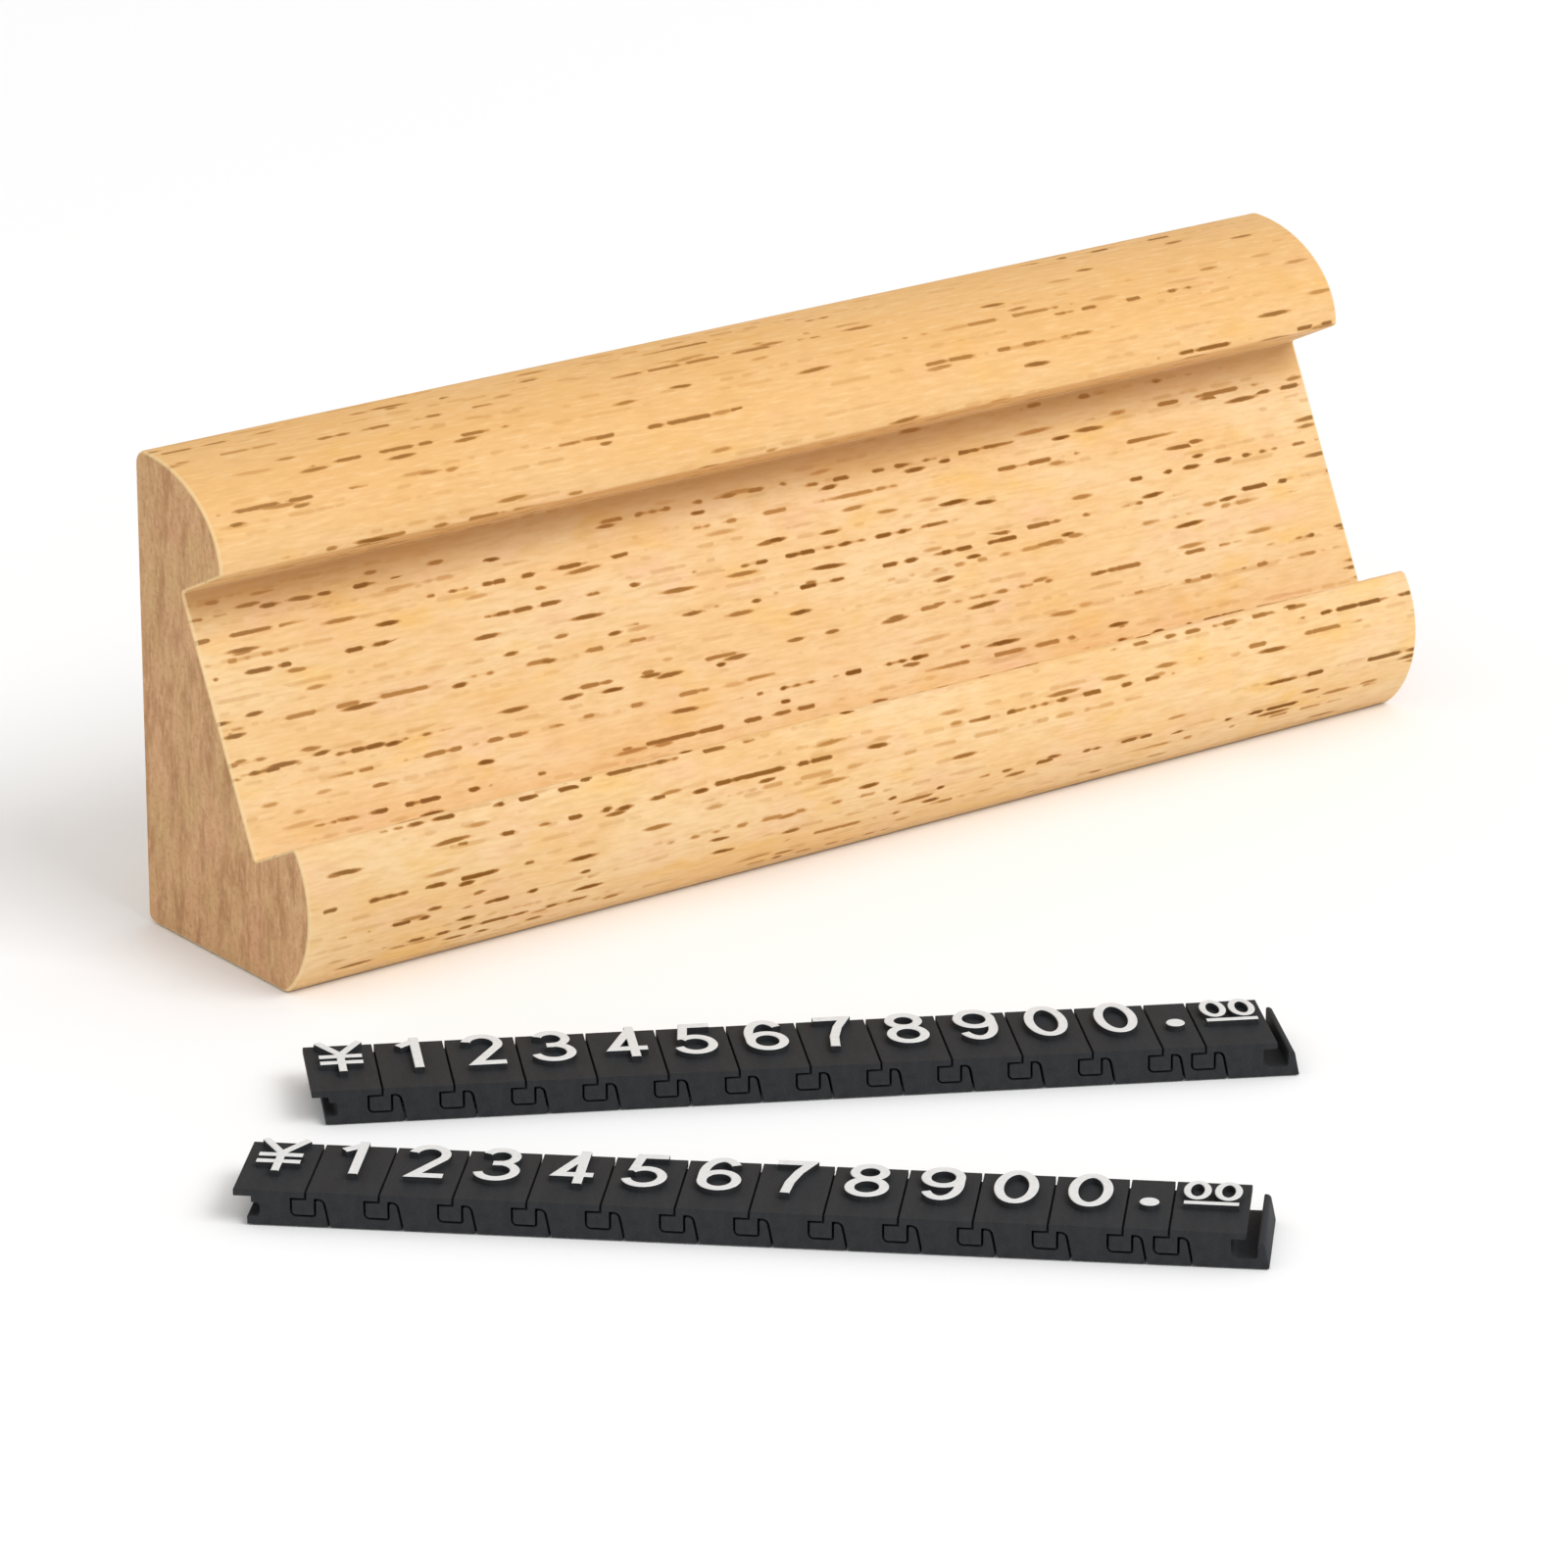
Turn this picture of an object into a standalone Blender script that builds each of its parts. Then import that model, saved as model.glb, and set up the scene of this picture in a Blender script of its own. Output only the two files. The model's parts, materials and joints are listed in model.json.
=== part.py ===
"""Table number holder: a milled beech block and two strips of interlocking number tiles.

The block is one solid moulding with a channel cut along its leaning front.
Each strip is a row of small moulded tiles. A tile has an upturned lip beyond its right edge and a
hollow under its face there. The next tile's hook drops in behind the lip with its toe in the
hollow. The strips lie loose in front of the block.
Metres, +Z up. The origin is the middle of the block's underside, +X runs along the block and
the channel faces -Y.
"""

import math

import bmesh
import bpy
from mathutils import Matrix, Vector

MM = 0.001

# Wood block
BLOCK_LENGTH = 110.0 * MM
BLOCK_HEIGHT = 38.2 * MM
FOOT_DEPTH = 19.2 * MM  # flat underside, back to front
TOP_FLAT = 1.4 * MM  # flat top, back to where the front round starts
BACK_TOP_ROUND = 1.2 * MM
BACK_FOOT_ROUND = 0.8 * MM

# Channel, cut square to a face that leans back
CHANNEL_LEAN = math.radians(26.0)
CHANNEL_WIDTH = 21.0 * MM
CHANNEL_DEPTH = 6.1 * MM
CHANNEL_DRAFT = 0.02 * MM  # each side of the channel leans outwards by this over its depth
CHANNEL_HEEL = (15.3 * MM, 9.4 * MM)  # depth from the back face, height above the underside
LIP_BULGE = 2.5 * MM  # how far the lower lip's front swells out of its chord

# Number tiles
DIGIT_WIDTH = 5.2 * MM
POINT_WIDTH = 3.2 * MM
CENTS_WIDTH = 5.4 * MM
TILE_HEIGHT = 8.7 * MM
TILE_THICKNESS = 2.6 * MM
GAP = 0.15 * MM  # running clearance between tiles

# Joint between two tiles, in the tile's cross-section
SKIN = 0.5 * MM  # the face's thickness over the joint
HOLLOW_REACH = 1.1 * MM  # how far the hollow goes in under the face
HOLLOW_FLOOR = 0.7 * MM  # its floor above the tile's back
GROOVE = 0.75 * MM  # open groove between the face's edge and the lip
LIP_TOP = 1.95 * MM  # lip's top above the tile's back
LIP_REACH = 1.2 * MM  # lip's outer side beyond the face's edge, at its top
LIP_FOOT = 1.6 * MM  # the same at the tile's back
HOLLOW_ROUND = 0.45 * MM
GROOVE_ROUND = 0.2 * MM
LIP_ROUNDS = (0.12 * MM, 0.35 * MM)  # inner and outer edge of the lip's top

# The currency tile comes first and has an empty groove in place of the hook
END_FOOT = 1.05 * MM
END_WALL = 1.35 * MM
END_GROOVE = (1.95 * MM, 0.6 * MM, 1.65 * MM)  # its end, floor and ceiling
END_GROOVE_ROUND = 0.3 * MM

# Raised figures
FIGURE_CAP = 5.8 * MM
FIGURE_TOP_GAP = 0.4 * MM
FIGURE_RELIEF = 0.5 * MM
FIGURE_ROOT = 0.2 * MM  # how deep the figure's prism starts below the face
STROKE = 0.12  # stroke width, in cap heights
FIGURE_WIDTH = 0.54  # figure width, in cap heights
ARC_STEP = math.radians(30.0)

# Strips lying in front of the block: middle of each on the surface, and its turn about +Z
STRIPS = {
    "rear": (Vector((-34.8, -46.0, 0.0)) * MM, math.radians(-29.2)),
    "front": (Vector((-53.4, -65.2, 0.0)) * MM, math.radians(-43.3)),
}

TILES = [
    ("yen", DIGIT_WIDTH),
    ("1", DIGIT_WIDTH),
    ("2", DIGIT_WIDTH),
    ("3", DIGIT_WIDTH),
    ("4", DIGIT_WIDTH),
    ("5", DIGIT_WIDTH),
    ("6", DIGIT_WIDTH),
    ("7", DIGIT_WIDTH),
    ("8", DIGIT_WIDTH),
    ("9", DIGIT_WIDTH),
    ("0a", DIGIT_WIDTH),
    ("0b", DIGIT_WIDTH),
    ("point", POINT_WIDTH),
    ("cents", CENTS_WIDTH),
]


def clear_scene():
    for item in list(bpy.data.objects):
        bpy.data.objects.remove(item, do_unlink=True)


def make_material(name, colour, roughness, metallic=0.0):
    material = bpy.data.materials.new(name)
    material.use_nodes = True
    shader = material.node_tree.nodes["Principled BSDF"]
    shader.inputs["Base Color"].default_value = (*colour, 1.0)
    shader.inputs["Roughness"].default_value = roughness
    shader.inputs["Metallic"].default_value = metallic
    return material


def add_object(name, mesh, material):
    item = bpy.data.objects.new(name, mesh)
    bpy.context.collection.objects.link(item)
    mesh.materials.clear()
    mesh.materials.append(material)
    return item


def arc(centre, radii, start, end):
    """Points along an ellipse's arc, from start to end degrees, both ends included."""
    sweep = math.radians(end - start)
    count = max(2, math.ceil(abs(sweep) / ARC_STEP))
    angles = [math.radians(start) + sweep * step / count for step in range(count + 1)]
    return [
        (centre[0] + radii[0] * math.cos(angle), centre[1] + radii[1] * math.sin(angle))
        for angle in angles
    ]


def bulged_arc(start, end, bulge, count):
    """Points strictly between start and end on a circle that swells out by bulge."""
    start = Vector(start)
    end = Vector(end)
    chord = end - start
    radius = chord.length**2 / (8 * bulge) + bulge / 2
    outward = Vector((-chord.y, chord.x)).normalized()
    centre = (start + end) / 2 + outward * (bulge - radius)
    half = math.asin(chord.length / 2 / radius)
    points = []
    for step in range(1, count):
        angle = half * (1 - 2 * step / count)
        side = outward * math.cos(angle) - chord.normalized() * math.sin(angle)
        points.append(tuple(centre + side * radius))
    return points


def fillet(before, corner, after, radius, count=3):
    """Arc that rounds a corner and touches both of its sides."""
    corner = Vector(corner)
    back = (Vector(before) - corner).normalized()
    on = (Vector(after) - corner).normalized()
    half = back.angle(on) / 2
    centre = corner + (back + on).normalized() * (radius / math.sin(half))
    first = corner + back * (radius / math.tan(half)) - centre
    last = corner + on * (radius / math.tan(half)) - centre
    start = math.atan2(first.y, first.x)
    sweep = math.remainder(math.atan2(last.y, last.x) - start, 2 * math.pi)
    angles = [start + sweep * step / count for step in range(count + 1)]
    return [tuple(centre + Vector((math.cos(a), math.sin(a))) * radius) for a in angles]


def softened(corners):
    """Outline through (x, y, radius) corners, each rounded by its own radius."""
    outline = []
    for index, (x, y, radius) in enumerate(corners):
        before = corners[index - 1]
        after = corners[(index + 1) % len(corners)]
        if radius > 0:
            outline += fillet(before[:2], (x, y), after[:2], radius)
        else:
            outline.append((x, y))
    return outline


def prism(name, outline, to_point, along):
    """Closed solid: an outline placed by to_point and extruded along a vector."""
    shape = bmesh.new()
    corners = [shape.verts.new(to_point(point)) for point in outline]
    face = shape.faces.new(corners)
    grown = bmesh.ops.extrude_face_region(shape, geom=[face])
    moved = [part for part in grown["geom"] if isinstance(part, bmesh.types.BMVert)]
    bmesh.ops.translate(shape, verts=moved, vec=along)
    bmesh.ops.recalc_face_normals(shape, faces=shape.faces)
    mesh = bpy.data.meshes.new(name)
    shape.to_mesh(mesh)
    shape.free()
    return mesh


# ---------------------------------------------------------------- wood block


def block_outline():
    """Cross-section as (depth from the back face, height), from the underside round the back."""
    up = Vector((-math.sin(CHANNEL_LEAN), math.cos(CHANNEL_LEAN)))
    out = Vector((math.cos(CHANNEL_LEAN), math.sin(CHANNEL_LEAN)))
    heel = Vector(CHANNEL_HEEL)
    head = heel + up * CHANNEL_WIDTH
    upper_lip = head + out * CHANNEL_DEPTH + up * CHANNEL_DRAFT
    lower_lip = heel + out * CHANNEL_DEPTH - up * CHANNEL_DRAFT
    foot = (FOOT_DEPTH, 0.0)
    round_radii = (upper_lip.x - TOP_FLAT, BLOCK_HEIGHT - upper_lip.y)
    outline = []
    outline += arc((BACK_FOOT_ROUND, BACK_FOOT_ROUND), (BACK_FOOT_ROUND,) * 2, 270, 180)
    outline += arc(
        (BACK_TOP_ROUND, BLOCK_HEIGHT - BACK_TOP_ROUND), (BACK_TOP_ROUND,) * 2, 180, 90
    )
    outline += arc((TOP_FLAT, upper_lip.y), round_radii, 90, 0)
    outline += [tuple(head), tuple(heel), tuple(lower_lip)]
    outline += bulged_arc(lower_lip, foot, LIP_BULGE, 8)
    outline.append(foot)
    return outline


def make_block(material):
    def place(point):
        return (-BLOCK_LENGTH / 2, FOOT_DEPTH / 2 - point[0], point[1])

    mesh = prism("wood_block", block_outline(), place, (BLOCK_LENGTH, 0.0, 0.0))
    mesh.shade_smooth()
    mesh.set_sharp_from_angle(angle=math.radians(25.0))
    return add_object("wood_block", mesh, material)


# ---------------------------------------------------------------- number tiles


def right_side(width):
    """Corners of a tile's right side, from the face down: skin, hollow, groove and lip."""
    right = width - GAP / 2
    return [
        (right, TILE_THICKNESS, 0.0),
        (right, TILE_THICKNESS - SKIN, 0.0),
        (width - HOLLOW_REACH, TILE_THICKNESS - SKIN, 0.0),
        (width - HOLLOW_REACH, HOLLOW_FLOOR, HOLLOW_ROUND),
        (width + GROOVE, HOLLOW_FLOOR, GROOVE_ROUND),
        (width + GROOVE, LIP_TOP, LIP_ROUNDS[0]),
        (width + LIP_REACH, LIP_TOP, LIP_ROUNDS[1]),
        (width + LIP_FOOT, 0.0, 0.0),
    ]


def hooked_side():
    """Corners of a tile's left side, from the back up: clear of the neighbour's lip, then the hook."""
    return [
        (LIP_FOOT + GAP, 0.0, 0.0),
        (LIP_REACH + GAP, LIP_TOP + GAP, LIP_ROUNDS[1] + GAP),
        (GROOVE - GAP, LIP_TOP + GAP, 0.0),
        (GROOVE - GAP, HOLLOW_FLOOR + GAP, GROOVE_ROUND - GAP),
        (GAP - HOLLOW_REACH, HOLLOW_FLOOR + GAP, HOLLOW_ROUND - GAP),
        (GAP - HOLLOW_REACH, TILE_THICKNESS - SKIN - GAP, 0.0),
        (GAP / 2, TILE_THICKNESS - SKIN - GAP, 0.0),
        (GAP / 2, TILE_THICKNESS, 0.0),
    ]


def end_side():
    """Corners of the first tile's left side, from the back up: wall, empty groove, overhang."""
    end, floor, ceiling = END_GROOVE
    return [
        (END_FOOT, 0.0, 0.0),
        (END_FOOT, floor, 0.0),
        (end, floor, END_GROOVE_ROUND),
        (end, ceiling, END_GROOVE_ROUND),
        (END_WALL, ceiling, 0.0),
        (END_WALL, TILE_THICKNESS - SKIN, 0.0),
        (GAP / 2, TILE_THICKNESS - SKIN, 0.0),
        (GAP / 2, TILE_THICKNESS, 0.0),
    ]


def tile_outline(width, hooked):
    """Cross-section as (distance along the strip, height above the tile's back)."""
    return softened(right_side(width) + (hooked_side() if hooked else end_side()))


def tile_body(width, hooked):
    def place(point):
        return (point[0], -TILE_HEIGHT / 2, point[1])

    return prism("tile", tile_outline(width, hooked), place, (0.0, TILE_HEIGHT, 0.0))


# ---------------------------------------------------------------- raised figures
# Each figure is a list of strokes in cap heights, with its left edge at 0 and its foot at 0.
# A stroke is (centre line, closed). A stroke of one point is a round dot.

HALF = STROKE / 2
MID = FIGURE_WIDTH / 2


def ring(centre, radii):
    return (arc(centre, radii, 0, 360)[:-1], True)


def turned(strokes):
    """The same strokes turned by half a turn within the figure's box."""
    return [
        ([(FIGURE_WIDTH - x, 1.0 - y) for x, y in points], closed)
        for points, closed in strokes
    ]


def figure_zero():
    return [ring((MID, 0.5), (MID - HALF, 0.5 - HALF))]


def figure_one():
    return [([(0.33, 0.0), (0.33, 1.0)], False), ([(0.34, 0.92), (0.11, 0.73)], False)]


def figure_two():
    hook = arc((MID, 0.70), (0.205, 0.24), 168, -28)
    return [(hook + [(0.15, HALF), (FIGURE_WIDTH - 0.01, HALF)], False)]


def figure_three():
    upper = arc((0.25, 0.735), (0.185, 0.205), 160, -90)
    lower = arc((0.25, 0.30), (0.225, 0.24), 90, -165)
    return [(upper + [(0.18, 0.53)], False), (lower, False)]


def figure_four():
    return [
        ([(0.37, 0.0), (0.37, 1.0)], False),
        ([(0.37, 0.92), (0.10, 0.29), (0.54, 0.29)], False),
    ]


def figure_five():
    flag = [(0.49, 1.0 - HALF), (0.16, 1.0 - HALF), (0.10, 0.48)]
    bowl = arc((0.255, 0.315), (0.22, 0.255), 138, -162)
    return [(flag, False), (bowl, False)]


def figure_six():
    bowl = ring((MID, 0.31), (MID - HALF, 0.25))
    back = arc((MID, 0.52), (MID - HALF, 0.42), 35, 180) + [(HALF, 0.31)]
    return [bowl, (back, False)]


def figure_seven():
    stem = [(0.43, 1.0 - HALF), (0.31, 0.66), (0.23, 0.34), (0.20, 0.0)]
    return [([(0.03, 1.0 - HALF)] + stem, False)]


def figure_eight():
    return [ring((MID, 0.745), (0.18, 0.195)), ring((MID, 0.30), (MID - HALF, 0.24))]


def figure_yen():
    return [
        ([(MID - 0.26, 0.98), (MID, 0.56), (MID + 0.26, 0.98)], False),
        ([(MID, 0.58), (MID, 0.0)], False),
        ([(MID - 0.27, 0.51), (MID + 0.27, 0.51)], False),
        ([(MID - 0.27, 0.31), (MID + 0.27, 0.31)], False),
    ]


def figure_point():
    return [([(MID, 0.22)], False)]


def figure_cents():
    radii = (0.125, 0.24)
    return [
        ring((MID - 0.187, 0.64), radii),
        ring((MID + 0.187, 0.64), radii),
        ([(MID - 0.33, 0.26), (MID + 0.33, 0.26)], False),
    ]


FIGURES = {
    "yen": figure_yen,
    "0a": figure_zero,
    "0b": figure_zero,
    "1": figure_one,
    "2": figure_two,
    "3": figure_three,
    "4": figure_four,
    "5": figure_five,
    "6": figure_six,
    "7": figure_seven,
    "8": figure_eight,
    "9": lambda: turned(figure_six()),
    "point": figure_point,
    "cents": figure_cents,
}

STROKE_OF = {"point": 0.24, "cents": 0.085, "yen": 0.10}


def stroke_sides(points, closed, half):
    """Left and right edge points of a stroke, mitred at its corners."""
    points = [Vector(point) for point in points]
    count = len(points)
    left = []
    right = []
    for index, point in enumerate(points):
        before = points[index - 1] if closed or index > 0 else None
        after = points[(index + 1) % count] if closed or index < count - 1 else None
        ahead = (after - point).normalized() if after is not None else None
        behind = (point - before).normalized() if before is not None else ahead
        ahead = ahead if ahead is not None else behind
        normal = Vector((-behind.y - ahead.y, behind.x + ahead.x)).normalized()
        reach = half / max(0.3, normal.dot(Vector((-ahead.y, ahead.x))))
        left.append(point + normal * reach)
        right.append(point - normal * reach)
    return left, right


def add_stroke(shape, stroke, half, to_point, low, high):
    """Adds one stroke to a bmesh as a closed prism between two heights."""
    points, closed = stroke
    left, right = stroke_sides(points, closed, half)
    rails = []
    for side, height in ((left, low), (right, low), (right, high), (left, high)):
        rails.append([shape.verts.new(to_point(point, height)) for point in side])
    count = len(points)
    for index in range(count if closed else count - 1):
        after = (index + 1) % count
        for rail in range(4):
            beside = (rail + 1) % 4
            shape.faces.new(
                (rails[rail][index], rails[rail][after], rails[beside][after], rails[beside][index])
            )
    if not closed:
        shape.faces.new([rail[0] for rail in rails])
        shape.faces.new([rail[-1] for rail in rails])


def add_dot(shape, centre, radius, to_point, low, high):
    """Adds one round dot to a bmesh as a closed prism between two heights."""
    rim = arc(centre, (radius, radius), 0, 360)[:-1]
    lower = [shape.verts.new(to_point(point, low)) for point in rim]
    upper = [shape.verts.new(to_point(point, high)) for point in rim]
    shape.faces.new(lower)
    shape.faces.new(upper)
    for index in range(len(rim)):
        before = index - 1
        shape.faces.new((lower[before], lower[index], upper[index], upper[before]))


def figure_mesh(label, width):
    """All strokes of a tile's figure, each one a closed prism standing in the tile's face."""
    left = (width - FIGURE_WIDTH * FIGURE_CAP) / 2
    foot = TILE_HEIGHT / 2 - FIGURE_TOP_GAP - FIGURE_CAP

    def place(point, height):
        return (left + point[0] * FIGURE_CAP, foot + point[1] * FIGURE_CAP, height)

    shape = bmesh.new()
    half = STROKE_OF.get(label, STROKE) / 2
    low = TILE_THICKNESS - FIGURE_ROOT
    high = TILE_THICKNESS + FIGURE_RELIEF
    for stroke in FIGURES[label]():
        if len(stroke[0]) == 1:
            add_dot(shape, stroke[0][0], half, place, low, high)
        else:
            add_stroke(shape, stroke, half, place, low, high)
    bmesh.ops.recalc_face_normals(shape, faces=shape.faces)
    mesh = bpy.data.meshes.new("figure")
    shape.to_mesh(mesh)
    shape.free()
    return mesh


def make_tile_mesh(label, width, material):
    """Tile body and raised figure, unioned into one closed mesh."""
    body = add_object("tile_blank", tile_body(width, label != "yen"), material)
    figure = add_object("tile_figure", figure_mesh(label, width), material)
    union = body.modifiers.new("figure", "BOOLEAN")
    union.operation = "UNION"
    union.solver = "EXACT"
    union.use_self = True
    union.object = figure
    bpy.context.view_layer.update()
    evaluated = body.evaluated_get(bpy.context.evaluated_depsgraph_get())
    mesh = bpy.data.meshes.new_from_object(evaluated)
    mesh.name = "tile_" + label
    for scrap in (body, figure):
        bpy.data.objects.remove(scrap, do_unlink=True)
    return mesh


def make_strip(strip, middle, turn, meshes, material):
    """One row of tiles, each its own object with its origin on its own left edge."""
    total = sum(width for _, width in TILES)
    frame = Matrix.Translation(middle) @ Matrix.Rotation(turn, 4, "Z")
    start = -total / 2
    for label, width in TILES:
        tile = add_object(f"{strip}_tile_{label}", meshes[label], material)
        tile.matrix_world = frame @ Matrix.Translation((start, 0.0, 0.0))
        start += width


def main():
    clear_scene()
    beech = make_material("beech", (0.72, 0.47, 0.22), 0.55)
    plastic = make_material("black_plastic", (0.018, 0.018, 0.019), 0.45)
    make_block(beech)
    meshes = {label: make_tile_mesh(label, width, plastic) for label, width in TILES}
    for strip, (middle, turn) in STRIPS.items():
        make_strip(strip, middle, turn, meshes, plastic)


main()
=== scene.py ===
"""Looks for the table number holder: sanded beech block and two strips of moulded number tiles."""

import json
import math

import bmesh
import bpy
from mathutils import Euler, Matrix, Vector


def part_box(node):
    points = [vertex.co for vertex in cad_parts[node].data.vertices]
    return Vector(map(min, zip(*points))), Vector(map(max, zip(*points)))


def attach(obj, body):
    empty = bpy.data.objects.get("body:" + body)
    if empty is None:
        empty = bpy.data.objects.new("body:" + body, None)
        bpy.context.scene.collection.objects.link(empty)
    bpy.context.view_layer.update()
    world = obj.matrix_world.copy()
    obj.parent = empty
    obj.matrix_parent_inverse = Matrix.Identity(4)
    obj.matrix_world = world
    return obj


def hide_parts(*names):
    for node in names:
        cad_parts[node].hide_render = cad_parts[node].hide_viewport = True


MM = 0.001

# View
CAMERA_AIM = Vector((-0.3, 0.7, 1.8)) * MM
CAMERA_DISTANCE = 620 * MM
CAMERA_AZIMUTH = math.radians(-36.92)
CAMERA_ELEVATION = math.radians(20.0)
CAMERA_LENS = 177.3
CAMERA_SENSOR = 36.0
CAMERA_CLIP = (0.01, 20.0)

# Studio: each light's azimuth and elevation in degrees, distance and size in metres, and watts
WORLD_STRENGTH = 0.69
LIGHTS = {
    "key": (20, 45, 3.0, (2.2, 1.4), 46.5),
    "fill": (-40, 15, 3.0, (2.0, 1.2), 9.0),
    "top": (120, 75, 3.0, (2.4, 2.4), 4.0),
}
FLOOR_REACH = 4.0
FLOOR_DROP = 0.1 * MM

# Block section, beyond what the frame gives
TOP_FLAT = 1.4 * MM
CHANNEL_WIDTH = 21.0 * MM
CHANNEL_DEPTH = 6.1 * MM
CHANNEL_DRAFT = 0.02 * MM
FOOT_DEPTH = 19.2 * MM
LIP_BULGE = 2.5 * MM
BACK_TOP_ROUND = 1.2 * MM
BACK_FOOT_ROUND = 0.8 * MM
LIP_TIP_ROUND = 0.35 * MM
CHANNEL_CORNER_ROUND = 0.3 * MM
LIP_EDGE_ROUND = 0.5 * MM
END_EASE = 0.4 * MM
BLOCK_SHARP_ANGLE = math.radians(40.0)

# Tile section
TILE_HEIGHT = 8.7 * MM
TILE_THICKNESS = 2.6 * MM
GAP = 0.15 * MM
SKIN = 0.5 * MM
HOLLOW_REACH = 1.1 * MM
HOLLOW_FLOOR = 0.7 * MM
GROOVE = 0.75 * MM
LIP_TOP = 1.95 * MM
LIP_REACH = 1.2 * MM
LIP_FOOT = 1.6 * MM
HOLLOW_ROUND = 0.45 * MM
GROOVE_ROUND = 0.2 * MM
LIP_ROUNDS = (0.12 * MM, 0.35 * MM)
END_FOOT = 1.05 * MM
END_WALL = 1.35 * MM
END_GROOVE = (1.95 * MM, 0.6 * MM, 1.65 * MM)
END_GROOVE_ROUND = 0.3 * MM
TILE_EASE = 0.05 * MM
TILE_EASE_ANGLE = math.radians(50.0)
TILE_SHARP_ANGLE = math.radians(30.0)
SQUARE_FACE = 0.999

# Tiles are put together at this scale, in millimetres. The weld is in that scale too.
WORK_SCALE = 1000.0
WELD = 0.001

# Raised figures. Stroke and width are in cap heights.
FIGURE_CAP = 5.8 * MM
FIGURE_TOP_GAP = 0.4 * MM
FIGURE_RELIEF = 0.5 * MM
FIGURE_ROOT = 0.2 * MM
FIGURE_EASE = 0.05 * MM
FIGURE_WIDTH = 0.54
STROKE = 0.12
STROKE_OF = {"point": 0.24, "cents": 0.085, "yen": 0.10}
MITRE_LIMIT = 0.3

# Each stroke of a figure is this much shorter at the top and the root than the one before it, so
# that no two of them share a top or a root.
STROKE_STEP = 0.006 * MM

TILES = ["yen", "1", "2", "3", "4", "5", "6", "7", "8", "9", "0a", "0b", "point", "cents"]
TILE_WIDTHS = {"point": 3.2 * MM, "cents": 5.4 * MM}
DIGIT_WIDTH = 5.2 * MM
STRIPS = ["rear", "front"]

# Flecks in the beech: size of a cell, half length and half thickness of a fleck, shift of the
# pattern in cells, and the share of cells that hold one. Rows are broken into dashes.
FLECK_ROWS = {
    "cell": (26.0 * MM, 2.5 * MM),
    "radii": (13.0 * MM, 0.25 * MM),
    "dash": 2.3 * MM,
    "shift": (0.0, 0.0, 0.0),
    "present": 0.85,
}
FAINT_ROWS = {
    "cell": (15.0 * MM, 1.3 * MM),
    "radii": (7.5 * MM, 0.23 * MM),
    "dash": 1.9 * MM,
    "shift": (3.0, 5.0, 0.0),
    "present": 0.7,
}
MEDIUM_FLECKS = {
    "cell": (7.5 * MM, 3.0 * MM),
    "radii": (2.4 * MM, 0.25 * MM),
    "shift": (7.3, 3.1, 0.0),
    "present": 0.6,
}
SHORT_FLECKS = {
    "cell": (5.0 * MM, 4.0 * MM),
    "radii": (1.5 * MM, 0.22 * MM),
    "shift": (3.7, 9.4, 0.0),
    "present": 0.4,
}
ROW_SCATTER = 0.9
ROW_CHANCE = 90.0
FLECK_TILT = 0.045
FLECK_SHORTEST = 0.4
FLECK_SOFTNESS = 0.9
FLECK_CONTRAST = 0.4
RAGGED_RATE = 1500.0
RAGGED_REACH = (0.8 * MM, 0.12 * MM, 0.0)
GRAIN_TURN = math.radians(-0.8)

# Heights at which painted shade darkens and warms the tone towards the crown, and at which painted
# shadow darkens the band under the lip
CROWN_SHADE_HEIGHTS = (26.0 * MM, 36.0 * MM)
LIP_SHADOW_HEIGHTS = (24.5 * MM, 28.4 * MM)
LIP_SHADOW_END = (28.3 * MM, 28.5 * MM)

# Rates of the noises, in cells a metre along each axis of the surface or body they are in
STREAK_RATE = (420.0, 3000.0, 1.0)
MOTTLE_RATE = (500.0, 1100.0, 1.0)
CLOUD_RATE = (60.0, 200.0, 1.0)
WARM_RATE = (130.0, 300.0, 1.0)
PINK_RATE = (130.0, 230.0, 1.0)
RING_RATE = (520.0, 170.0, 1.0)
RING_TURN = math.radians(28.0)
RAY_RATE = (2600.0, 700.0, 1.0)
RAY_TURN = math.radians(-48.0)
BLOOM_RATE = (220.0, 150.0, 1.0)
WANDER_RATE = 170.0
PORE_RATE = 2400.0
PLASTIC_FLOW_RATE = (1400.0, 260.0, 900.0)
STAMP_WEAR_RATE = 2600.0
FINE_RATE = 9000.0
FLOOR_CLOUD_RATE = 3.0

# Relief of the surfaces
BEECH_RELIEF = 0.05 * MM
MOULDED_RELIEF = 0.02 * MM


# ---------------------------------------------------------------- outlines


def arc(centre, radii, start, end, step=9.0):
    """Points along an ellipse's arc, from start to end degrees, both ends included."""
    count = max(2, math.ceil(abs(end - start) / step))
    angles = [math.radians(start + (end - start) * index / count) for index in range(count + 1)]
    return [
        (centre[0] + radii[0] * math.cos(angle), centre[1] + radii[1] * math.sin(angle))
        for angle in angles
    ]


def bulged_arc(start, end, bulge, count):
    """Points strictly between start and end on a circle that swells out by bulge."""
    start = Vector(start)
    end = Vector(end)
    chord = end - start
    radius = chord.length**2 / (8 * bulge) + bulge / 2
    outward = Vector((-chord.y, chord.x)).normalized()
    centre = (start + end) / 2 + outward * (bulge - radius)
    half = math.asin(chord.length / 2 / radius)
    points = []
    for step in range(1, count):
        angle = half * (1 - 2 * step / count)
        side = outward * math.cos(angle) - chord.normalized() * math.sin(angle)
        points.append(tuple(centre + side * radius))
    return points


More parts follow.
